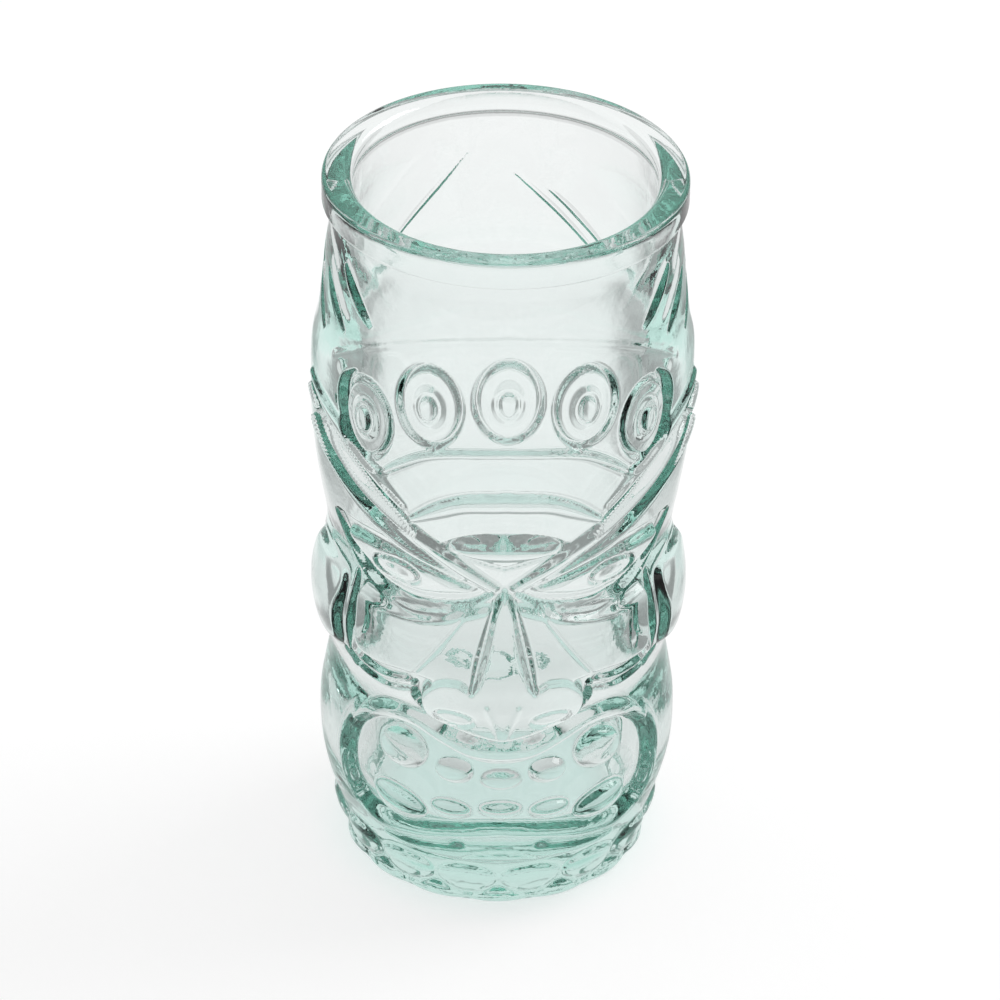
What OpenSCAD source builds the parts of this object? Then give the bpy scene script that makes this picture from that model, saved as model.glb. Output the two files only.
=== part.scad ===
// Tiki tumbler: a heavy pressed-glass cup with a carved mask on its front.
// The cup stands on z = 0, its axis is Z, and the mask looks along -Y.
// Relief is drawn as [angle, height] points: the angle in degrees from the nose
// line, positive to +X, and the height in millimetres on a cup 165 mm tall.

/* [Cup] */
// Height from the table to the top of the rim
cup_h = 165; // [150:1:180]
// Outside radius of the cup at the headband, under the relief
body_r = 40.6; // [38:0.1:44]
// Inside radius of the mouth
mouth_r = 32; // [29:0.1:33]
// Inside radius where the side wall meets the floor curve
floor_r = 31; // [26:0.5:32]
// Thickness of the glass floor
floor_t = 13; // [9:1:20]

/* [Mask] */
// How far the tallest relief stands off the cup
relief_h = 2; // [1:0.1:2.6]
// Number of petals round the foot
petal_count = 15; // [12:1:18]

/* [Hidden] */

drawn_h = 165;                    // height at which the relief is drawn
drawn_r = 40.6;                   // headband radius at which it is drawn
z_scale = cup_h / drawn_h;
r_scale = body_r / drawn_r;
skin_gap = 0.16;                  // keeps each relief just clear of the cup
profile_step = 1.5;               // height of one band of the revolved outline

clear_glass = [0.80, 0.88, 0.86];
green_glass = [0.55, 0.75, 0.70];
deep_glass = [0.35, 0.60, 0.53];

// Outside of the cup, [height, radius]: foot, jaw, cheek, headband and neck.
OUTLINE = [[0, 32], [4, 32.6], [8, 33.8], [13, 35.6], [19, 37.4], [27, 38.7], [35, 38.7], [43, 37.5],
           [50, 36.4], [57, 38], [65, 39.2], [74, 38.1], [82, 37.2], [92, 38.9], [104, 40.4],
           [115, 40.7], [126, 40.5], [131.5, 39.3], [140, 38.4], [148, 37.6], [153, 37], [159, 36.8]];
neck_top = 159;                   // height of the ledge under the rim bead
bead_r = 38.5;                    // widest radius of the rim bead
bead_depth = 5.2;                 // from the rim down to the end of the bead's upright side
ledge_edge = 0.5;                 // rounding under that side
ledge_turn = 80;                  // how far the rounding turns, in degrees
rim_edge = 1.2;                   // rounding of the rim's outer edge
mouth_edge = 2.2;                 // rounding of the rim's inner edge
floor_round = 13;                 // rounding between the floor and the wall
draft = 10;                       // slope of the wall where the floor rounding meets it, in degrees
vessel_sides = 96;                // flats round the cup
edge_steps = 4;                   // flats across each rounding of the bead
mouth_steps = 6;                  // across the rounding of the mouth
floor_steps = 8;                  // and across that of the floor

// Height of each kind of relief, as a share of relief_h.
flute_rise = 0.45;
back_flute_rise = 0.35;
upper_border_rise = 0.4;
lower_border_rise = 0.5;
disc_ring_rise = 0.6;
disc_rise = 0.8;
crescent_rise = 0.55;
lens_rise = 0.6;
lid_rise = 0.6;
iris_rise = 0.7;
nose_rise = 1.3;
cheek_rise = 0.9;
cheek_fold_rise = 0.7;
ear_rise = 0.5;
lower_lip_rise = 1.1;
tooth_rise = 0.8;
chin_rise = 0.7;
petal_rise = 0.6;
arch_rise = 0.4;

// Ovals, wide in degrees to each side and tall in millimetres up and down.
disc_ring_wide = 8.8;             // carved ring of a headband disc
disc_ring_tall = 8.4;
disc_ring_width = 2.2;            // breadth of the ring's own ridge
disc_wide = 3.4;                  // knob in the middle of a disc
disc_tall = 4.2;
iris_wide = 9;
iris_tall = 2.6;
petal_wide = 0.43;                // of the distance from one petal to the next
petal_tall = 3.4;
petal_z = 8;
arch_wide = 0.3;
arch_tall = 1.8;
arch_z = 2.6;

// Catmull-Rom curve between p1 and p2.
function curve(p0, p1, p2, p3, t) =
    0.5 * (2 * p1 + (p2 - p0) * t + (2 * p0 - 5 * p1 + 4 * p2 - p3) * t * t
           + (3 * p1 - p0 - 3 * p2 + p3) * t * t * t);

function smooth_path(p, n) =
    let (last = len(p) - 1)
    [for (i = [0:last - 1]) for (j = [0:n - 1])
        curve(p[max(i - 1, 0)], p[i], p[i + 1], p[min(i + 2, last)], j / n),
     p[last]];

function smooth_loop(p, n) =
    let (m = len(p))
    [for (i = [0:m - 1]) for (j = [0:n - 1])
        curve(p[(i + m - 1) % m], p[i], p[(i + 1) % m], p[(i + 2) % m], j / n)];

// Slope of the outline at knot i, and the smooth radius at any drawn height.
function knot_slope(i) =
    let (a = OUTLINE[max(i - 1, 0)], b = OUTLINE[min(i + 1, len(OUTLINE) - 1)])
    (b[1] - a[1]) / (b[0] - a[0]);

function between(i, z) =
    let (a = OUTLINE[i], b = OUTLINE[i + 1], w = b[0] - a[0], t = (z - a[0]) / w)
    a[1] * (1 + 2 * t) * (1 - t) * (1 - t) + b[1] * t * t * (3 - 2 * t)
    + w * (knot_slope(i) * t * (1 - t) * (1 - t) - knot_slope(i + 1) * t * t * (1 - t));

function knot_below(z, i = 0) =
    i + 2 >= len(OUTLINE) || z < OUTLINE[i + 1][0] ? i : knot_below(z, i + 1);

function outer_r(z) = between(knot_below(z), z);

// A point of the skin at angle a and drawn height z, raised by h.
function skin(a, z, h) =
    let (r = outer_r(z) * r_scale + h)
    [r * sin(a), -r * cos(a), z * z_scale];

// Arc of a circle in the outline plane, as [radius, height] points.
function arc(cr, cz, r, from, to, n) =
    [for (i = [0:n]) let (a = from + (to - from) * i / n) [cr + r * cos(a), cz + r * sin(a)]];

// Joins rings of n points into a closed skin; ends are single points.
function strip(n, low, high) =
    [for (i = [0:n - 1]) let (j = (i + 1) % n)
        each [[low + i, low + j, high + j], [low + i, high + j, high + i]]];

function fan(n, ring, tip) = [for (i = [0:n - 1]) [ring + i, ring + (i + 1) % n, tip]];

// A domed pad with the given closed outline. fine adds rings to wide pads.
module pad(outline, height, per_span = 2, fine = false) {
    loop = smooth_loop(outline, per_span);
    n = len(loop);
    mid = [for (k = [0:1]) (max([for (p = outline) p[k]]) + min([for (p = outline) p[k]])) / 2];
    top = fine ? [[1, 0.45], [0.88, 0.85], [0.6, 0.96], [0.3, 1]] : [[1, 0.4], [0.78, 0.85]];
    base = fine ? [1, 0.6, 0.3] : [1];
    points = concat(
        [for (s = base) for (p = loop) let (q = mid + (p - mid) * s) skin(q[0], q[1], skin_gap)],
        [for (s = top) for (p = loop) let (q = mid + (p - mid) * s[0])
            skin(q[0], q[1], skin_gap + height * s[1])],
        [skin(mid[0], mid[1], skin_gap), skin(mid[0], mid[1], skin_gap + height)]);
    first_top = len(base) * n;
    tips = first_top + len(top) * n;
    faces = concat(
        len(base) > 1 ? [for (k = [1:len(base) - 1]) each strip(n, k * n, (k - 1) * n)] : [],
        [for (f = fan(n, (len(base) - 1) * n, tips)) [f[1], f[0], f[2]]],
        strip(n, 0, first_top),
        [for (k = [0:len(top) - 2]) each strip(n, first_top + k * n, first_top + (k + 1) * n)],
        fan(n, first_top + (len(top) - 1) * n, tips + 1));
    polyhedron(points, [for (f = faces) [f[2], f[1], f[0]]]);
}

// An upright oval pad, wide degrees to each side and tall mm up and down.
module oval_pad(a, z, wide, tall, height, sides = 8) {
    pad([for (i = [0:sides - 1]) let (t = i * 360 / sides) [a + wide * cos(t), z + tall * sin(t)]], height);
}

// Section of a ridge: [part of the half width, part of the height].
SECTION = [[-1, 0.25], [-0.6, 0.8], [0, 1], [0.6, 0.8], [1, 0.25], [1, 0], [-1, 0]];

function ridge_ring(before, at, after, height) =
    let (mm = PI / 180 * outer_r(at[1]),
         along = [(after[0] - before[0]) * mm, after[1] - before[1]],
         across = [-along[1], along[0]] / norm(along))
    [for (s = SECTION) let (off = across * (s[0] * at[2] / 2))
        skin(at[0] + off[0] / mm, at[1] + off[1], skin_gap + height * s[1])];

// A rounded ridge that runs through [angle, height, width] points.
module ridge(path, height, per_span = 3) {
    line = smooth_path(path, per_span);
    last = len(line) - 1;
    m = len(SECTION);
    points = [for (i = [0:last])
        each ridge_ring(line[max(i - 1, 0)], line[i], line[min(i + 1, last)], height)];
    polyhedron(points, concat(
        [[for (k = [m - 1:-1:0]) k]],
        [for (i = [0:last - 1]) each strip(m, i * m, (i + 1) * m)],
        [[for (k = [0:m - 1]) last * m + k]]));
}

// A rounded ridge that closes on itself.
module ring_ridge(path, height, per_span = 2) {
    line = smooth_loop(path, per_span);
    n = len(line);
    m = len(SECTION);
    points = [for (i = [0:n - 1])
        each ridge_ring(line[(i + n - 1) % n], line[i], line[(i + 1) % n], height)];
    polyhedron(points, [for (i = [0:n - 1]) each strip(m, i * m, ((i + 1) % n) * m)]);
}

// Mirrors a path or an outline across the nose line and keeps its sense of turn.
function flip(points) =
    [for (i = [len(points) - 1:-1:0]) [for (k = [0:len(points[i]) - 1]) (k == 0 ? -1 : 1) * points[i][k]]];

// Both halves of a symmetric path, given from the nose line outwards.
function both_sides(half) = concat(flip([for (i = [1:len(half) - 1]) half[i]]), half);

module vessel() {
    side = [for (z = [0:profile_step:neck_top]) [outer_r(z) * r_scale, z * z_scale]];
    bead = bead_r * r_scale;
    wall_low = floor_t + floor_round;
    outline = concat(
        [[0, 0]], side,
        arc(bead - ledge_edge, cup_h - bead_depth, ledge_edge, -ledge_turn, 0, edge_steps),
        arc(bead - rim_edge, cup_h - rim_edge, rim_edge, 0, 90, edge_steps),
        arc(mouth_r + mouth_edge, cup_h - mouth_edge, mouth_edge, 90, 180, mouth_steps),
        [[floor_r, wall_low]],
        arc(floor_r - floor_round, wall_low, floor_round, -draft, -90, floor_steps),
        [[0, floor_t]]);
    color(clear_glass) rotate_extrude($fn = vessel_sides) polygon(outline);
}

// Slanting leaf flutes: short ones at the temples, long ones on the back.
module crown_flutes() {
    temple = [[47, 143.4], [60, 138], [74, 134], [83, 143]];
    leaf = [[0, 0, 0.8], [5, 2.6, 2.4], [11, 6, 2.4], [16, 9, 1]];
    back = [[[146, 128.6, 0.8], [157, 134.8, 1.6], [166, 139.6, 1.6], [175, 144.6, 0.8]],
            [[141, 132.4, 0.8], [149, 137.2, 1.6], [156, 140.8, 1.6], [163, 144, 0.8]]];
    color(clear_glass) for (side = [-1, 1]) {
        for (t = temple)
            ridge([for (p = leaf) [side * (t[0] + p[0]), t[1] + p[1], p[2]]], flute_rise * relief_h);
        for (line = back)
            ridge([for (p = line) [side * p[0], p[1], p[2]]], back_flute_rise * relief_h);
    }
}

module headband_upper_border() {
    color(clear_glass) ridge(both_sides([[0, 145.9, 2.2], [20, 144.8, 2.2], [40, 140.7, 2.2],
        [60, 136.1, 2.2], [80, 133.5, 2.2]]), upper_border_rise * relief_h);
}

// Five carved discs that climb to the middle of the forehead.
module headband_discs() {
    places = [[0, 133.5], [23.5, 130.5], [-23.5, 130.5], [46, 122.3], [-46, 122.3]];
    color(clear_glass) for (p = places) {
        ring_ridge([for (t = [0:45:315])
            [p[0] + disc_ring_wide * cos(t), p[1] + disc_ring_tall * sin(t), disc_ring_width]],
            disc_ring_rise * relief_h);
        oval_pad(p[0], p[1], disc_wide, disc_tall, disc_rise * relief_h);
    }
}

module headband_lower_border() {
    color(clear_glass) ridge(both_sides([[0, 120.9, 2], [14, 120.1, 2], [26, 117.3, 2], [34, 112.8, 1.4]]),
        lower_border_rise * relief_h);
}

module forehead_crescent() {
    color(clear_glass) ridge(both_sides([[0, 108.6, 4.4], [12, 107.8, 4.2], [20, 105.4, 3.6],
        [28, 102.2, 1.4]]), crescent_rise * relief_h);
}

module forehead_lens() {
    color(clear_glass) pad([[0, 96.8], [-9, 96.2], [-15, 95], [-8, 92.5], [0, 89.9],
        [8, 92.5], [15, 95], [9, 96.2]], lens_rise * relief_h);
}

// Three slanting ridges that run from the temple to the root of the nose.
module brow(side) {
    ridges = [
        [[36, 106.2, 1.6], [46, 111, 2.8], [56, 114.8, 2.8], [66, 118, 2.4], [76, 120.6, 1]],
        [[5, 86.7, 1.6], [19, 93.3, 2.4], [33, 99, 2.4], [45, 104.3, 2.4], [56, 109.5, 2.4],
         [67, 113, 2.2], [76, 115.4, 1]],
        [[17, 89.9, 1.2], [31, 94.3, 1.8], [45, 98.8, 2.2], [57, 103.7, 2.4], [68, 108.1, 2.4],
         [76, 110.8, 1]]];
    color(green_glass) for (r = ridges) ridge(side > 0 ? r : flip(r), relief_h);
}

// Lids round an almond eye, with the raised iris between them.
module eye(side) {
    lids = [[7, 84.5, 1.4], [20, 87.9, 1.4], [33, 91.3, 1.4], [46, 91.9, 1.4], [59, 89.9, 1.4],
            [52, 84.1, 1.4], [42, 81.2, 1.4], [30, 80.3, 1.4], [17, 81.9, 1.4]];
    color(green_glass) {
        ring_ridge(side > 0 ? lids : flip(lids), lid_rise * relief_h);
        oval_pad(side * 36, 86, iris_wide, iris_tall, iris_rise * relief_h);
    }
}

module nose() {
    half = [[8, 47.7], [16, 49.5], [24, 52], [25.4, 55.4], [21, 58.8], [14, 59.7], [7.4, 61.8],
            [4.2, 73.3], [2, 82.8]];
    color(clear_glass) pad(concat([[0, 46.7]], half, [[0, 84.3]], flip(half)), nose_rise * relief_h, 2, true);
}

module cheek(side) {
    panel = [[16, 77.3], [23, 70.3], [32, 62.9], [42, 62.3], [50, 64.3], [50.4, 71.3], [48, 78.1],
             [32, 76.7]];
    color(clear_glass) {
        pad(side > 0 ? panel : flip(panel), cheek_rise * relief_h, 3, true);
        ridge([for (p = [[31, 58, 1.6], [40, 57.6, 2.4], [50, 59.3, 2.4]]) [side * p[0], p[1], p[2]]],
            cheek_fold_rise * relief_h);
    }
}

module ear(side) {
    lobe = [[61, 77.8], [60, 67.3], [63, 58.4], [75, 56.9], [88, 59.8], [93, 68.3], [88, 76.8], [75, 78.8]];
    color(clear_glass) pad(side > 0 ? lobe : flip(lobe), ear_rise * relief_h, 3, true);
}

module upper_lip() {
    color(green_glass) ridge(both_sides([[0, 42.9, 3.4], [12, 43.8, 3.4], [24, 46.9, 3.6], [35, 48.8, 4],
        [45, 47.1, 3.4], [51.5, 43.1, 2]]), relief_h);
}

module lower_lip() {
    color(deep_glass) ridge(both_sides([[0, 22.1, 3.4], [15, 20.9, 3.4], [30, 19, 3.4], [43, 18.4, 3.6],
        [54, 21.8, 3.6], [59.4, 30.8, 3.6], [59.4, 38.6, 3.4], [57.6, 43.5, 2]]), lower_lip_rise * relief_h);
}

// A row of teeth: one in the middle, two small ones and two corner tusks.
module teeth(row) {
    color(green_glass) for (t = row) oval_pad(t[0], t[1], t[2], t[3], tooth_rise * relief_h);
}

module teeth_upper() {
    teeth([[0, 36, 7, 2.2], [15.8, 37.4, 6.4, 2.7], [-15.8, 37.4, 6.4, 2.7],
           [35, 39.6, 8.8, 4.1], [-35, 39.6, 8.8, 4.1]]);
}

module teeth_lower() {
    teeth([[0, 28, 7.2, 2.2], [16.6, 27.2, 6.8, 2.4], [-16.6, 27.2, 6.8, 2.4],
           [36, 26, 9.6, 3.6], [-36, 26, 9.6, 3.6]]);
}

module chin() {
    color(green_glass) ridge(both_sides([[0, 16.2, 5.6], [14, 15.6, 4.4], [28, 15, 2.6], [42, 14.9, 1]]),
        chin_rise * relief_h);
}

module foot_petals() {
    pitch = 360 / petal_count;
    color(green_glass) for (i = [0:petal_count - 1])
        oval_pad((i + 0.5) * pitch, petal_z, petal_wide * pitch, petal_tall, petal_rise * relief_h, 6);
}

module foot_arches() {
    pitch = 360 / petal_count;
    color(green_glass) for (i = [0:petal_count - 1])
        oval_pad(i * pitch, arch_z, arch_wide * pitch, arch_tall, arch_rise * relief_h, 6);
}

vessel();
crown_flutes();
headband_upper_border();
headband_discs();
headband_lower_border();
forehead_crescent();
forehead_lens();
brow(-1);  // brow_left
brow(1);  // brow_right
eye(-1);  // eye_left
eye(1);  // eye_right
nose();
cheek(-1);  // cheek_left
cheek(1);  // cheek_right
ear(-1);  // ear_left
ear(1);  // ear_right
upper_lip();
lower_lip();
teeth_upper();
teeth_lower();
chin();
foot_petals();
foot_arches();
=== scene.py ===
import math

import bpy
import numpy as np
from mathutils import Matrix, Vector


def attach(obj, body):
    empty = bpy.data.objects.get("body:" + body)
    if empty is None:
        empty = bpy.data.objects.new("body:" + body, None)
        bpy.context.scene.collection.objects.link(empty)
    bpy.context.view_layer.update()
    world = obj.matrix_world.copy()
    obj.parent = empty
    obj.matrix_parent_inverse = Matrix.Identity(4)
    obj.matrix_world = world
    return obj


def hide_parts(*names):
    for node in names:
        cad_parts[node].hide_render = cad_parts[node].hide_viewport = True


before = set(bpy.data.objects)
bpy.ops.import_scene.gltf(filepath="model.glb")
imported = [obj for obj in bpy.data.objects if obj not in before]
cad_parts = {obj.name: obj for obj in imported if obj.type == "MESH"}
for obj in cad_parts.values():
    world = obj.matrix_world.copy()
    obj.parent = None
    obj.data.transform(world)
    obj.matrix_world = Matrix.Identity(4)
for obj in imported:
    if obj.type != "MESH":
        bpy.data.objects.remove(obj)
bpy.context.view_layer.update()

# The tumbler is one piece of pressed glass, so its looks are one closed skin of glass.
# The skin is a grid over angle and height: the angle is in degrees from the nose line, and
# heights, widths and depths are in millimetres. The mask is the same on both sides of the
# nose line, so every feature is drawn once, for angles from 0 to 180. Only the strokes on
# the back differ from side to side, and they are drawn for angles from -180 to 180.
MM = 0.001
MASK_REACH = 100.0       # the mask lies within this angle of the nose line
FRONT_STEP = 0.42        # spacing of the columns over the mask, in degrees
BACK_STEP = 0.8          # and round the back
ROW_STEP = 0.42          # spacing of the rows
LOWEST_ROW = 0.6         # height of the first row, over the rounding of the foot
MEAN_RADIUS = 38.7       # of the cup's outside
MM_PER_DEGREE = math.radians(1) * MEAN_RADIUS
COLUMN_WIDTH = FRONT_STEP * MM_PER_DEGREE

RELIEF = 1.6             # how strongly every drawn height and depth is carved
SOFTNESS = 0.34          # rounding of every edge of the relief
CUT_SOFTNESS = 0.16      # of the grooves cut into it
BODY_SOFTNESS = 0.9      # and of the cup's own outline
NARROWEST = 0.2          # no stroke is narrower
PIT_EDGE = 0.8           # width of a pit's sloping side
TINY = 1e-9              # keeps a division by a length of nothing from failing

NECK_TOP = 158.8         # the relief ends here, under the rim's bead
NECK_FADE = 2.0          # and dies away over this height below
BEAD_GAP = 0.5           # from the last row of the relief to the bead
WAVER_FADE = 10.0        # the unevenness of the glass grows from nothing at the foot to full at this height
BASE_RINGS = (10.0, 20.0, 29.0, 31.6, 32.4)   # radii of the skin's rings on the flat base
FOOT_ROUND_IN = 0.25     # the foot's bottom edge is rounded by this much inwards
FOOT_ROUND_UP = 0.22     # and upwards
FLOOR_RING = 9.0         # radius of the innermost ring on the floor inside
BEAD_REACH = 0.4         # longest step of the skin over the bead
INSIDE_REACH = 4.0       # and down the inside
RING_POINTS = 16         # points along an oval groove
CURVE_STEPS = 6          # steps from one point of a curve to the next


# ---------------------------------------------------------------- outline of the cup

def vessel_outline():
    """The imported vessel's outside and inside.

    Each is made of [radius, height] rows in millimetres, from the base up. They are read
    from the edges that lie in the half plane y = 0, x > 0.
    """
    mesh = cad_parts["vessel"].data
    points = np.array([v.co for v in mesh.vertices]) / MM
    tolerance = 0.01
    column = {}
    for i in np.flatnonzero((np.abs(points[:, 1]) < tolerance) & (points[:, 0] > 0)):
        column[int(i)] = (round(points[i, 0], 2), round(points[i, 2], 2))
    links = {}
    for edge in mesh.edges:
        p, q = (column.get(i) for i in edge.vertices)
        if p and q and p != q:
            links.setdefault(p, set()).add(q)
            links.setdefault(q, set()).add(p)
    walk = [min((p for p in links if len(links[p]) == 1), key=lambda p: p[1])]
    onward = links[walk[0]]
    while onward:
        walk.append(min(onward))
        onward = links[walk[-1]].difference(walk)
    outline = np.array(walk)
    crest = outline[:, 1].argmax()
    return outline[:crest + 1], outline[:crest - 1:-1]


OUTER, INNER = vessel_outline()
TOP = OUTER[:, 1].max()
INSIDE_FLOOR = INNER[0, 1]


# ---------------------------------------------------------------- drawing on the skin

def smooth_path(points, closed=False):
    """A Catmull-Rom curve through rows of numbers."""
    p = np.array(points, float)
    n = len(p)
    spans = n if closed else n - 1
    t = np.linspace(0, 1, CURVE_STEPS, endpoint=False)[:, None]
    pieces = []
    for i in range(spans):
        if closed:
            a, b, c, d = p[(i - 1) % n], p[i], p[(i + 1) % n], p[(i + 2) % n]
        else:
            a, b, c, d = p[max(i - 1, 0)], p[i], p[i + 1], p[min(i + 2, n - 1)]
        pieces.append(0.5 * (2 * b + (c - a) * t + (2 * a - 5 * b + 4 * c - d) * t ** 2
                             + (3 * b - a - 3 * c + d) * t ** 3))
    if not closed:
        pieces.append(p[-1:])
    return np.concatenate(pieces)


def nearest(u, z, p, d):
    """For each point, how far along the span from p by d its nearest place lies, and the distance to it."""
    t = np.clip(((u - p[0]) * d[0] + (z - p[1]) * d[1]) / max(d[0] ** 2 + d[1] ** 2, TINY), 0, 1)
    return t, np.hypot(u - p[0] - t * d[0], z - p[1] - t * d[1])


def rounded(x):
    """A quarter of a sine wave: 0 up to x = 0, and 1 from x = 1."""
    return np.sin(np.clip(x, 0, 1) * math.pi / 2)


def eased(x):
    """A change from 0 to 1 that starts and ends slowly."""
    x = np.clip(x, 0, 1)
    return x ** 2 * (3 - 2 * x)


class Skin:
    """A drawing board: the relief's height over a grid of angles and heights."""

    def __init__(self, angles, heights):
        self.a, self.z = np.meshgrid(angles, heights)
        self.u = self.a * MM_PER_DEGREE      # the angle as a distance along the skin
        self.h = np.zeros_like(self.u)       # raised and hollowed shapes
        self.cut = np.zeros_like(self.u)     # grooves, which keep sharper edges

    def near(self, line, reach):
        """The mask of points in the box round a line, with reach to spare."""
        low, high = line[:, :2].min(0), line[:, :2].max(0)
        return ((self.u > low[0] - reach) & (self.u < high[0] + reach)
                & (self.z > low[1] - reach) & (self.z < high[1] + reach))

    def across(self, path, closed=False):
        """The mask of points near a stroke, and how far across it each lies: 0 on it, 1 at its edge."""
        line = smooth_path(path, closed=closed)
        line[:, 0] *= MM_PER_DEGREE
        line[:, 2] = np.maximum(line[:, 2], NARROWEST) / 2
        mask = self.near(line, line[:, 2].max())
        u, z = self.u[mask], self.z[mask]
        best = np.full(u.shape, np.inf)
        ends = np.roll(line, -1, axis=0) if closed else line[1:]
        for p, q in zip(line, ends):
            t, distance = nearest(u, z, p, q - p)
            best = np.minimum(best, distance / (p[2] + t * (q[2] - p[2])))
        return mask, best

    def depth(self, outline):
        """The mask of points near a closed outline, and how deep inside it each lies."""
        line = smooth_path(outline, closed=True)
        line[:, 0] *= MM_PER_DEGREE
        mask = self.near(line, 0)
        u, z = self.u[mask], self.z[mask]
        best = np.full(u.shape, np.inf)
        inside = np.zeros(u.shape, bool)
        for p, q in zip(line, np.roll(line, -1, axis=0)):
            d = q - p
            best = np.minimum(best, nearest(u, z, p, d)[1])
            crosses = (p[1] > z) != (q[1] > z)
            inside ^= crosses & (u < p[0] + (z - p[1]) * d[0] / (d[1] if d[1] else TINY))
        return mask, np.where(inside, best, -best)

    def ridge(self, path, height):
        """A rounded ridge along [angle, height, width] points."""
        mask, x = self.across(path)
        self.h[mask] = np.where(x < 1, np.maximum(self.h[mask], height * (1 - x ** 2)), self.h[mask])

    def groove(self, path, depth, closed=False):
        """A V-shaped groove cut below whatever is there."""
        mask, x = self.across(path, closed)
        self.cut[mask] -= depth * (1 - np.minimum(x, 1))

    def plate(self, outline, height, edge=1.2):
        """A raised plate with a rounded edge."""
        mask, d = self.depth(outline)
        self.h[mask] = np.where(d > 0, np.maximum(self.h[mask], height * rounded(d / edge)), self.h[mask])

    def pit(self, outline, depth):
        """A flat-bottomed hollow with steep sides."""
        mask, d = self.depth(outline)
        self.h[mask] -= depth * rounded(d / PIT_EDGE)

    def boss(self, a, z, wide, tall, height, tilt=0.0, power=1.0):
        """An oval dome added on top, wide degrees to each side and tall mm up and down."""
        c, s = math.cos(math.radians(tilt)), math.sin(math.radians(tilt))
        x, y = (self.a - a) * MM_PER_DEGREE, self.z - z
        far = ((x * c + y * s) / (wide * MM_PER_DEGREE)) ** 2 + ((y * c - x * s) / tall) ** 2
        self.h += height * np.clip(1 - far, 0, 1) ** power

    def ring(self, a, z, wide, tall, width, depth, tilt=0.0):
        """An oval groove round a point."""
        c, s = math.cos(math.radians(tilt)), math.sin(math.radians(tilt))
        path = []
        for i in range(RING_POINTS):
            turn = 2 * math.pi * i / RING_POINTS
            x = wide * MM_PER_DEGREE * math.cos(turn)
            y = tall * math.sin(turn)
            path.append([a + (x * c - y * s) / MM_PER_DEGREE, z + x * s + y * c, width])
        self.groove(path, depth, closed=True)


def band_shift(a, z):
    """How far the headband's swelling climbs towards the middle of the forehead."""
    climb = np.interp(a, [0, 20, 40, 60, 80, 95], [13.5, 12.5, 8.5, 4.5, 1.5, 0])
    start, full = 101, 124
    crest_fade = 10
    return climb * eased((z - start) / (full - start)) * eased((NECK_TOP - z) / crest_fade)


# ---------------------------------------------------------------- the mask

def crown(skin):
    """Slanting strokes over the temples."""
    for a, z in ((47, 143.4), (60, 138), (74, 134), (83, 143)):
        skin.groove([[a, z, 0.8], [a + 5, z + 2.6, 2.8], [a + 11, z + 6, 3], [a + 16, z + 9, 1]], depth=1.3)


def back_strokes(skin):
    for path in ([[-168, 150.2, 0.4], [-158, 143, 1.3], [-149, 137.8, 1.4], [-139, 132.6, 0.6]],
                 [[175, 144.6, 0.4], [166, 139.6, 1.2], [157, 134.8, 1.3], [146, 128.6, 0.6]],
                 [[163.4, 141.6, 0.4], [156, 138.2, 1.4], [149, 134.6, 1.5], [141, 130.4, 0.6]]):
        skin.groove(path, depth=0.5)


def headband(skin):
    """Two borders, five carved discs between them, and a stroke beside the outer disc."""
    skin.ridge([[0, 147.5, 1.6], [16, 146.4, 1.6], [32, 143.2, 1.6], [47.5, 138.2, 1.6],
                [63, 131.8, 1]], height=0.25)
    skin.ridge([[0, 121.1, 2], [14, 120.4, 2], [24, 118.5, 2], [32, 115, 2], [38, 111.6, 1.2]], height=1.0)
    for a, z in ((0, 133.5), (23.5, 130.5), (46, 122.3)):
        skin.ring(a, z, wide=9.6, tall=9.2, width=1.8, depth=1.3)
        skin.boss(a, z, wide=5.2, tall=5.4, height=1.0)
        skin.ring(a, z, wide=3.0, tall=3.2, width=1.0, depth=0.6)
    skin.groove([[51, 132, 1], [56, 127.9, 2.8], [57, 121.8, 3.2], [53, 115.6, 3], [46, 112.2, 2.6],
                 [38, 110.6, 1]], depth=1.3)


def forehead(skin):
    """The crescent, and the slot between the brows."""
    skin.ridge([[0, 108.6, 4.4], [12, 107.8, 4.2], [20, 105.4, 3.6], [29, 101.6, 1.4]], height=1.0)
    skin.groove([[0, 111.4, 1.4], [12, 110.4, 1.4], [22, 107.2, 1.4], [30, 102.4, 0.8]], depth=0.5)
    skin.ridge([[0, 95.4, 4.4], [9, 95.4, 3.4], [16, 96, 1]], height=0.9)
    skin.groove([[0, 98.7, 4.6], [7, 98.5, 4.2], [13, 97.8, 3], [17.5, 97.2, 0.8]], depth=3.0)
    skin.groove([[0, 91.3, 1.2], [9, 93.3, 1.2], [19, 97, 0.8]], depth=0.5)


def brow(skin):
    """Three strands that fan out from the top of the nose, with deep strokes between them."""
    skin.ridge([[32, 104, 1.6], [43, 109.8, 3.4], [53, 114.2, 4], [64, 117.6, 4], [80, 121, 1.6]], height=0.7)
    skin.ridge([[3, 85.9, 2], [10, 89.3, 3.4], [20, 94.2, 4], [32, 99.4, 4], [45, 105.4, 4.2],
                [53, 109.4, 4.2], [62, 113.2, 4], [78, 118.6, 1.6]], height=1.3)
    skin.ridge([[13, 88.3, 1.4], [22, 91.1, 2.4], [30, 93.1, 3], [37, 95.6, 3.6], [45, 99, 3.8],
                [53, 103, 3.8], [62, 107.1, 3.6], [76, 111.6, 1.6]], height=1.2)
    skin.groove([[30, 100.4, 0.8], [36.5, 103.6, 2.2], [43.5, 106.6, 2.8], [53.5, 111, 2.8],
                 [62, 113.6, 2.4], [70, 115.2, 0.8]], depth=2.3)
    skin.groove([[28.5, 96.6, 1], [38.5, 100.4, 2.6], [48, 104.2, 3], [54, 106.4, 3], [62, 109.2, 3],
                 [72, 111.8, 2.4], [82, 113.4, 1]], depth=1.9)


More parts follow.
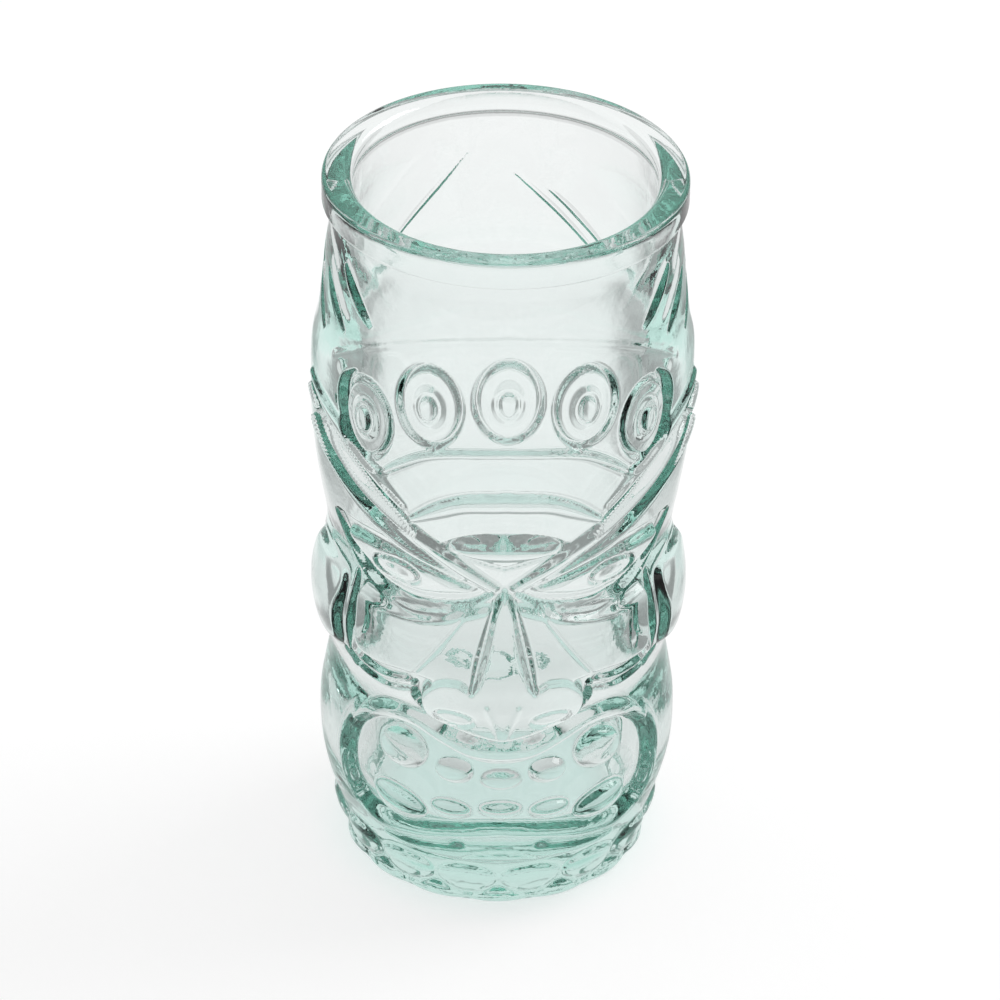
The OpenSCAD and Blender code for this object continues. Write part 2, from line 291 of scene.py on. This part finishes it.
def eye(skin):
    """A sunk socket, the eyeball, the stroke along the lower lid and the iris."""
    skin.pit([[5, 83.9], [12, 81.5], [22, 79.9], [32, 79.2], [42, 79.9], [51, 81.7], [58, 85.3],
              [63, 90.7], [64, 92.9], [54, 93.3], [44, 93.8], [34, 92.7], [25, 90.5], [14, 87.3]], depth=0.7)
    skin.plate([[9, 84.5], [18, 82.9], [30, 81.9], [42, 82.7], [51, 85.3], [58, 89.7], [48, 91.1],
                [36, 90.7], [24, 88.7], [14, 86.2]], height=0.7, edge=1.8)
    skin.groove([[4, 83.8, 1], [12, 81, 1.8], [22, 79.5, 2.1], [32, 78.9, 2.2], [42, 79.5, 2.2],
                 [51, 81.4, 2.2], [58.5, 85.2, 2.2], [65, 91.4, 1.2]], depth=1.6)
    skin.ring(36, 86.2, wide=8.2, tall=2.9, width=1.2, depth=0.8, tilt=4)
    skin.boss(36, 86.2, wide=5, tall=1.6, height=0.4, tilt=4)


def cheek(skin):
    """A raised cheek with a crease across it, and the fold under it."""
    skin.plate([[2, 80.9], [4, 71.3], [7, 62.3], [20, 61.5], [30, 62.3], [42, 61.9], [50, 63.6],
                [51.5, 70.3], [51, 77.7], [40, 77.1], [30, 76.7], [20, 77.9], [12, 79.7]], height=1.5)
    skin.groove([[12, 79.3, 0.8], [20, 70.8, 1], [28, 62.8, 0.8]], depth=0.35)
    skin.ridge([[31, 59.7, 1.4], [38, 58.8, 2], [46, 59.3, 2], [52.5, 61.9, 2], [54, 66.3, 1]], height=1.1)
    skin.groove([[31, 56.8, 1.6], [40, 55.4, 2.6], [50, 56, 2.6], [60, 58, 1.4]], depth=0.8)


def ear(skin):
    """A raised ear, and the deep stroke between it and the cheek."""
    skin.plate([[59, 78.3], [60, 67.3], [61, 58.9], [75, 55.9], [90, 58.4], [97, 67.3], [90, 77.3],
                [75, 79.9]], height=1.0, edge=3)
    skin.groove([[55, 79.3, 1.6], [55.4, 71.3, 3.4], [55.4, 63.3, 3.8], [55, 56.4, 2.6]], depth=1.5)


def nose(skin):
    """The nose, the slot beside its bridge, a nostril, the tip's creases and the stroke under it."""
    skin.plate([[0, 85.7], [3, 82.3], [5, 75.3], [7.2, 68.3], [9.2, 63], [13, 64.2], [20, 63.4],
                [26, 58.4], [25, 52.2], [16, 49.1], [7, 47.2], [0, 46.4], [-7, 47.2], [-9, 61.3],
                [-7, 68.3], [-5, 75.3], [-3, 82.3]], height=2.2, edge=1.5)
    skin.groove([[3.2, 82.2, 0.8], [5.2, 75.3, 2.3], [7.3, 68.3, 2.5], [9.4, 61, 0.8]], depth=1.5)
    skin.ring(14.8, 53.2, wide=6, tall=1.9, width=0.8, depth=0.6, tilt=10)
    skin.ridge([[4.8, 57.4, 1], [2.8, 52.4, 1.2], [0.8, 48.1, 1]], height=2.9)
    skin.groove([[0, 45.4, 1.4], [8, 46.3, 1.4], [16, 48.1, 1.6], [24, 50.8, 2], [29, 54.4, 2.8],
                 [28.6, 59.3, 1.4]], depth=1.5)


def mouth(skin):
    """The upper lip, the lower lip, the hollow between them and the two rows of teeth."""
    skin.ridge([[0, 42.9, 3.6], [10, 43.5, 3.6], [20, 46.1, 4], [30, 48.5, 4.6], [40, 48.3, 5],
                [48, 45.9, 4], [54, 42.6, 2.6]], height=1.1)
    skin.ridge([[0, 22.1, 3.4], [15, 20.9, 3.4], [30, 18.9, 3.6], [43, 18.2, 3.8], [54, 21.6, 3.6],
                [60, 30.8, 3.6], [59.6, 38.6, 3.4], [55, 44.5, 3]], height=0.7)
    skin.pit([[0, 40.6], [10, 41.4], [20, 43.8], [30, 46.2], [40, 46.2], [49, 44], [55.5, 39],
              [57, 31.8], [53.5, 24.6], [44, 20.7], [30, 21], [15, 22.8], [0, 24.1],
              [-15, 22.8], [-15, 42.6]], depth=1.1)
    upper = ((0, 36, 7.2, 2.4, 0), (15.8, 37.4, 6.6, 2.9, 0), (35, 39.6, 9.2, 4.4, 0))
    lower = ((0, 28, 7.6, 2.3, 0), (16.6, 27.2, 7.2, 2.5, 4), (36, 25.6, 10.4, 3.9, 12))
    for a, z, wide, tall, tilt in upper + lower:
        skin.boss(a, z, wide, tall, height=1.9, tilt=tilt, power=0.6)


def chin(skin):
    skin.ridge([[0, 15.6, 6.6], [14, 15.6, 5.2], [28, 15.4, 3], [42, 15.8, 0.8]], height=1.3)
    skin.boss(14.5, 19, wide=3.4, tall=1.2, height=-0.6)
    skin.groove([[0, 16.9, 1], [8, 16.3, 1], [13, 15, 0.6]], depth=0.4)


def foot(skin):
    """Petals all round, with the arches between them at the very edge."""
    pitch = 24
    for i in range(int(180 / pitch) + 1):
        skin.boss((i + 0.5) * pitch, 6.8, wide=0.48 * pitch, tall=4.4, height=1.1, power=0.5)
        skin.boss(i * pitch, 0.8, wide=0.5 * pitch, tall=3, height=0.8, power=0.5)


# ---------------------------------------------------------------- the closed skin

def soften(h, radius):
    """Rounds every edge, as molten glass fills a mould: a weighted mean over about radius mm."""
    for axis, step in ((1, COLUMN_WIDTH), (0, ROW_STEP)):
        reach = max(1, int(3 * radius / step))
        weights = np.exp(-0.5 * (np.arange(-reach, reach + 1) * step / radius) ** 2)
        weights /= weights.sum()
        pad = [(0, 0), (0, 0)]
        pad[axis] = (reach, reach)
        padded = np.pad(h, pad, mode="edge")
        size = h.shape[axis]
        h = sum(w * padded.take(range(k, k + size), axis) for k, w in enumerate(weights))
    return h


def waver(a, z):
    """The slow unevenness of hand-pressed glass: a few waves that wind up and round the cup."""
    t = np.radians(a)
    waves = ((0.05, 3, 0.06, 1.1), (0.04, 7, -0.11, 0), (0.03, 13, 0.23, 2.0), (0.025, 2, 0.5, 0))
    return sum(size * np.sin(round_it * t + up_it * z + start) for size, round_it, up_it, start in waves)


def column_angles():
    front = np.arange(0, MASK_REACH, FRONT_STEP)
    back = np.linspace(MASK_REACH, 180, int((180 - MASK_REACH) / BACK_STEP) + 1)
    half = np.r_[front, back]
    return np.r_[-half[-2:0:-1], half]


def outer_radius():
    """Rows of radius over the columns, from the foot to the neck."""
    angles = column_angles()
    heights = np.arange(LOWEST_ROW, NECK_TOP, ROW_STEP)
    skin = Skin(np.abs(angles), heights)
    for draw in (crown, headband, forehead, brow, eye, cheek, ear, nose, mouth, chin, foot):
        draw(skin)
    back = Skin(angles, heights)
    back_strokes(back)
    relief = RELIEF * (soften(skin.h, SOFTNESS) + soften(skin.cut + back.cut, CUT_SOFTNESS))
    relief *= np.clip((NECK_TOP - skin.z) / NECK_FADE, 0, 1)
    body = np.interp(skin.z - band_shift(skin.a, skin.z), OUTER[:, 1], OUTER[:, 0])
    uneven = waver(back.a, back.z) * np.clip(back.z / WAVER_FADE, 0, 1)
    return angles, heights, soften(body, BODY_SOFTNESS) + relief + uneven


def split_long(path, reach):
    """The same path with no step longer than reach, so that shading stays true along straight walls."""
    rows = [path[:1]]
    for p, q in zip(path, path[1:]):
        steps = max(1, int(np.ceil(np.hypot(*(q - p)) / reach)))
        rows.append(p + (q - p) * np.arange(1, steps + 1)[:, None] / steps)
    return np.concatenate(rows)


def skin_rings():
    """The columns' angles, and each ring's radius and height, from under the base to the floor inside."""
    angles, heights, radius = outer_radius()
    bead = split_long(OUTER[OUTER[:, 1] > NECK_TOP + BEAD_GAP], BEAD_REACH)
    inside = split_long(np.r_[INNER[::-1], [[FLOOR_RING, INSIDE_FLOOR]]], INSIDE_REACH)
    rings = [(r, 0.0) for r in BASE_RINGS]
    rings += [(radius[0] - FOOT_ROUND_IN, FOOT_ROUND_UP)]
    rings += list(zip(radius, heights))
    rings += list(bead[:-1])
    rings += list(inside)
    return angles, rings


def glass_body():
    """One closed skin: base, outside with the mask, rim, inside and floor."""
    angles, rings = skin_rings()
    n = len(angles)
    t = np.radians(angles)
    verts = []
    for r, z in rings:
        r = np.broadcast_to(r, (n,))
        verts.append(np.c_[r * np.sin(t), -r * np.cos(t), np.full(n, z)])
    verts = np.concatenate(verts + [[[0, 0, 0]], [[0, 0, INSIDE_FLOOR]]]) * MM
    column = np.arange(n)
    following = (column + 1) % n
    quads = []
    for k in range(len(rings) - 1):
        low, high = k * n, (k + 1) * n
        quads.append(np.c_[low + column, low + following, high + following, high + column])
    faces = np.concatenate(quads).tolist()
    last = (len(rings) - 1) * n
    base_middle = len(rings) * n
    floor_middle = base_middle + 1
    faces += [[base_middle, int(j), int(i)] for i, j in zip(column, following)]
    faces += [[floor_middle, int(last + i), int(last + j)] for i, j in zip(column, following)]
    mesh = bpy.data.meshes.new("glass_body")
    mesh.from_pydata(verts.tolist(), [], faces)
    mesh.shade_smooth()
    mesh.validate()
    body = bpy.data.objects.new("glass_body", mesh)
    bpy.context.scene.collection.objects.link(body)
    return body


# ---------------------------------------------------------------- material

WHITE = (1, 1, 1, 1)
GLASS_COLOUR = (0.275, 0.8, 0.68, 1)   # the smaller a colour's share, the sooner the glass takes it out
GLASS_DENSITY = 8.0      # of that absorption, per metre
STIPPLE_SCALE = 420.0    # fine unevenness of the surface
STIPPLE_STRENGTH = 0.06
STIPPLE_HEIGHT = 0.0004


def recycled_glass():
    """Pale aqua glass: clear where it is thin and green along a long way through it."""
    material = bpy.data.materials.new("recycled_glass")
    material.use_nodes = True
    nodes, links = material.node_tree.nodes, material.node_tree.links
    shader = nodes["Principled BSDF"]
    shader.inputs["Base Color"].default_value = WHITE
    shader.inputs["Transmission Weight"].default_value = 1.0
    shader.inputs["IOR"].default_value = 1.5
    shader.inputs["Roughness"].default_value = 0.0
    absorb = nodes.new("ShaderNodeVolumeAbsorption")
    absorb.inputs["Color"].default_value = GLASS_COLOUR
    absorb.inputs["Density"].default_value = GLASS_DENSITY
    links.new(absorb.outputs["Volume"], nodes["Material Output"].inputs["Volume"])
    place = nodes.new("ShaderNodeTexCoord")
    stipple = nodes.new("ShaderNodeTexNoise")
    stipple.inputs["Scale"].default_value = STIPPLE_SCALE
    stipple.inputs["Detail"].default_value = 2.0
    links.new(place.outputs["Object"], stipple.inputs["Vector"])
    bump = nodes.new("ShaderNodeBump")
    bump.inputs["Strength"].default_value = STIPPLE_STRENGTH
    bump.inputs["Distance"].default_value = STIPPLE_HEIGHT
    links.new(stipple.outputs["Fac"], bump.inputs["Height"])
    links.new(bump.outputs["Normal"], shader.inputs["Normal"])
    return material


# ---------------------------------------------------------------- studio

# The table's glow looks one way to the camera and another through the glass, where it holds painted
# light and shade: painted dark flags, and painted light behind. Distances are in metres. Each pair of limits
# says where a change of the glow begins and where it ends. The painted flags' glow and the table's gains and
# shares are parts of PAINTED_LIGHT_IN_GLASS.
TABLE_SIZE = 6.0
TABLE_DROP = 0.0002      # the table lies this far under the foot
TABLE_GREY = (0.35, 0.35, 0.35, 1)
FLOOR_SEEN = 0.73        # glow of the table as the camera sees it
PAINTED_LIGHT_IN_GLASS = 0.66    # painted light: the table's glow as it shows through the glass, just behind the cup
PAINTED_FLAG_SHADE = 0.06               # painted shade: dark flags painted into the table's glow in front of the cup and beside it
PAINTED_POOL_TINT = (0.82, 0.97, 0.94, 1)   # painted light: green tint of a pool of light painted on the table under the cup, where the glass would gather light
PAINTED_POOL_LIMITS = (0.02, 0.045)   # from the cup's axis: the painted pool of light
# strength of the painted pool of light in the glow through the glass
PAINTED_POOL_GAIN = 0.25
FRONT_LIMITS = (-0.11, -0.04)  # front to back: from the painted shade of the flag in front to the table at the cup
BY_CUP = 0.8
BEHIND_LIMITS = (0.06, 0.14)   # front to back: painted light, brighter again behind the cup
BEHIND_GAIN = 0.2
FAR_LIMITS = (0.5, 0.8)        # front to back: painted shade, fainter far behind
FAR_SHARE = 0.6
SIDE_LIMITS = (0.07, 0.12)     # from the middle to either side: the painted shade of the flags beside the cup
OPEN_LIMITS = (0.2, 0.3)       # from the cup's axis: painted light on the table all round past the painted flags
OPEN_SHARE = 0.75

# The sky's limits are parts of a direction of length 1.
SKY_TILT = 0.6           # how much height counts as being behind
SKY_BEHIND_LIMITS = (0.25, 0.5)
SKY_FRONT_SHARE = 0.4    # the room in front, as a share of the light behind
SKY_LOW_LIMITS = (0.1, 0.3)
SKY_LOW_SHARE = 0.5      # the horizon, as a share of the light above it
SKY_IN_GLASS = 0.85      # brightest part of the sky through the glass
SKY_SEEN = 0.97          # the sky as the camera sees it

KEY_PLACE = (1.1, 0.5, 1.3)
KEY_AIM = (0, 0, 0.08)
KEY_SIZE = 0.9
KEY_POWER = 10.0

SENSOR = 36.0            # width, in millimetres
LENS = 216.9             # focal length, in millimetres
CAMERA_DISTANCE = 1.3
CAMERA_ELEVATION = math.radians(33.06)
CAMERA_TURN = math.radians(-2.0)    # round the cup, from straight in front
CAMERA_ROLL = math.radians(1.04)
CAMERA_AIM = 0.505       # share of the cup's height
GLASS_BOUNCES = 24       # enough to pass through both walls and all their strokes


def maths(nodes, links, operation, *values):
    """A maths node fed by numbers or by other nodes' outputs."""
    node = nodes.new("ShaderNodeMath")
    node.operation = operation
    for socket, value in zip(node.inputs, values):
        if isinstance(value, (int, float)):
            socket.default_value = value
        else:
            links.new(value, socket)
    return node.outputs[0]


def fade(nodes, links, value, limits, at_low, at_high):
    """A smooth change from at_low to at_high as value goes from the lower limit to the upper."""
    node = nodes.new("ShaderNodeMapRange")
    node.interpolation_type = "SMOOTHSTEP"
    links.new(value, node.inputs["Value"])
    node.inputs["From Min"].default_value = limits[0]
    node.inputs["From Max"].default_value = limits[1]
    node.inputs["To Min"].default_value = at_low
    node.inputs["To Max"].default_value = at_high
    return node.outputs["Result"]


def seen_or_in_glass(nodes, links, in_glass, seen):
    """One strength for the camera's own rays, and another for the rays that come by way of the glass."""
    choice = nodes.new("ShaderNodeMix")
    links.new(nodes.new("ShaderNodeLightPath").outputs["Is Camera Ray"], choice.inputs["Factor"])
    links.new(in_glass, choice.inputs["A"])
    choice.inputs["B"].default_value = seen
    return choice.outputs["Result"]


def painted_table_light(nodes, links, place, from_axis):
    """Painted light and shade in the table's glow through the glass: painted dark flags in front and beside,
    painted light behind and farther out.
    """
    across, back = place.outputs["X"], place.outputs["Y"]
    along = fade(nodes, links, back, FRONT_LIMITS, PAINTED_FLAG_SHADE, BY_CUP)
    behind = fade(nodes, links, back, BEHIND_LIMITS, 0.0, BEHIND_GAIN)
    # painted pool of light: extra glow round the cup's axis
    painted_pool = fade(nodes, links, from_axis, PAINTED_POOL_LIMITS, PAINTED_POOL_GAIN, 0.0)
    far = fade(nodes, links, back, FAR_LIMITS, 1.0, FAR_SHARE)
    to_side = maths(nodes, links, "ABSOLUTE", across)
    beside = fade(nodes, links, to_side, SIDE_LIMITS, PAINTED_LIGHT_IN_GLASS, PAINTED_FLAG_SHADE * PAINTED_LIGHT_IN_GLASS)
    beyond = fade(nodes, links, from_axis, OPEN_LIMITS, 0.0, OPEN_SHARE * PAINTED_LIGHT_IN_GLASS)
    glow = maths(nodes, links, "ADD", along, behind)
    glow = maths(nodes, links, "ADD", glow, painted_pool)
    glow = maths(nodes, links, "MULTIPLY", glow, beside)
    glow = maths(nodes, links, "MULTIPLY", glow, far)
    return maths(nodes, links, "MAXIMUM", glow, beyond)


def floor():
    """A pale table, with a painted pool of green-tinted light under the cup."""
    bpy.ops.mesh.primitive_plane_add(size=TABLE_SIZE, location=(0, 0, -TABLE_DROP))
    plane = bpy.context.object
    plane.name = "floor"
    material = bpy.data.materials.new("pale_floor")
    material.use_nodes = True
    nodes, links = material.node_tree.nodes, material.node_tree.links
    shader = nodes["Principled BSDF"]
    shader.inputs["Base Color"].default_value = TABLE_GREY
    shader.inputs["Roughness"].default_value = 1.0
    shader.inputs["Specular IOR Level"].default_value = 0.0
    position = nodes.new("ShaderNodeNewGeometry").outputs["Position"]
    place = nodes.new("ShaderNodeSeparateXYZ")
    links.new(position, place.inputs["Vector"])
    length = nodes.new("ShaderNodeVectorMath")
    length.operation = "LENGTH"
    links.new(position, length.inputs[0])
    from_axis = length.outputs["Value"]
    # painted light: the glow's colour is tinted green round the cup's axis, a painted pool of light that the
    # camera sees too
    painted_pool_mix = nodes.new("ShaderNodeMix")
    painted_pool_mix.data_type = "RGBA"
    links.new(fade(nodes, links, from_axis, PAINTED_POOL_LIMITS, 1.0, 0.0), painted_pool_mix.inputs["Factor"])
    painted_pool_mix.inputs["A"].default_value = WHITE
    painted_pool_mix.inputs["B"].default_value = PAINTED_POOL_TINT
    links.new(painted_pool_mix.outputs["Result"], shader.inputs["Emission Color"])
    # painted light and shade: through the glass the table's glow is darker in front of and beside the cup,
    # and brighter behind it
    in_glass = painted_table_light(nodes, links, place, from_axis)
    strength = seen_or_in_glass(nodes, links, in_glass, FLOOR_SEEN)
    links.new(strength, shader.inputs["Emission Strength"])
    plane.data.materials.append(material)


def sky():
    """A large soft light behind and above the cup, and a dimmer room in front and low down."""
    world = bpy.data.worlds.new("studio")
    bpy.context.scene.world = world
    world.use_nodes = True
    nodes, links = world.node_tree.nodes, world.node_tree.links
    background = nodes["Background"]
    way = nodes.new("ShaderNodeSeparateXYZ")
    links.new(nodes.new("ShaderNodeTexCoord").outputs["Generated"], way.inputs["Vector"])
    lifted = maths(nodes, links, "MULTIPLY_ADD", way.outputs["Z"], SKY_TILT, way.outputs["Y"])
    behind = fade(nodes, links, lifted, SKY_BEHIND_LIMITS, SKY_FRONT_SHARE, 1.0)
    low = fade(nodes, links, way.outputs["Z"], SKY_LOW_LIMITS, SKY_LOW_SHARE, 1.0)
    level = maths(nodes, links, "MULTIPLY", behind, low)
    level = maths(nodes, links, "MULTIPLY", level, SKY_IN_GLASS)
    links.new(seen_or_in_glass(nodes, links, level, SKY_SEEN), background.inputs["Strength"])
    background.inputs["Color"].default_value = WHITE


def key_light():
    """A soft square lamp that is seen in the glass only as a glint, never straight through it."""
    data = bpy.data.lights.new("key_light", "AREA")
    data.shape = "RECTANGLE"
    data.size, data.size_y = KEY_SIZE, KEY_SIZE
    data.energy = KEY_POWER
    lamp = bpy.data.objects.new("key_light", data)
    bpy.context.scene.collection.objects.link(lamp)
    lamp.location = KEY_PLACE
    lamp.rotation_euler = (Vector(KEY_PLACE) - Vector(KEY_AIM)).to_track_quat("Z", "Y").to_euler()
    lamp.visible_transmission = False


def camera():
    """The photograph's view: from above, and almost square to the nose."""
    data = bpy.data.cameras.new("camera")
    data.sensor_width = SENSOR
    data.lens = LENS
    view = bpy.data.objects.new("camera", data)
    bpy.context.scene.collection.objects.link(view)
    level = math.cos(CAMERA_ELEVATION)
    away = Vector((math.sin(CAMERA_TURN) * level, -math.cos(CAMERA_TURN) * level,
                   math.sin(CAMERA_ELEVATION)))
    view.location = Vector((0, 0, CAMERA_AIM * TOP * MM)) + away * CAMERA_DISTANCE
    view.rotation_euler = away.to_track_quat("Z", "Y").to_euler()
    view.rotation_euler.rotate_axis("Z", CAMERA_ROLL)
    bpy.context.scene.camera = view


def light_paths():
    scene = bpy.context.scene
    scene.view_settings.view_transform = "Standard"
    scene.cycles.max_bounces = GLASS_BOUNCES
    scene.cycles.transmission_bounces = GLASS_BOUNCES
    scene.cycles.glossy_bounces = 12
    scene.cycles.use_denoising = True


glass = glass_body()
glass.data.materials.append(recycled_glass())
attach(glass, "root")
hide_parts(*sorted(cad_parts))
floor()
sky()
key_light()
camera()
light_paths()
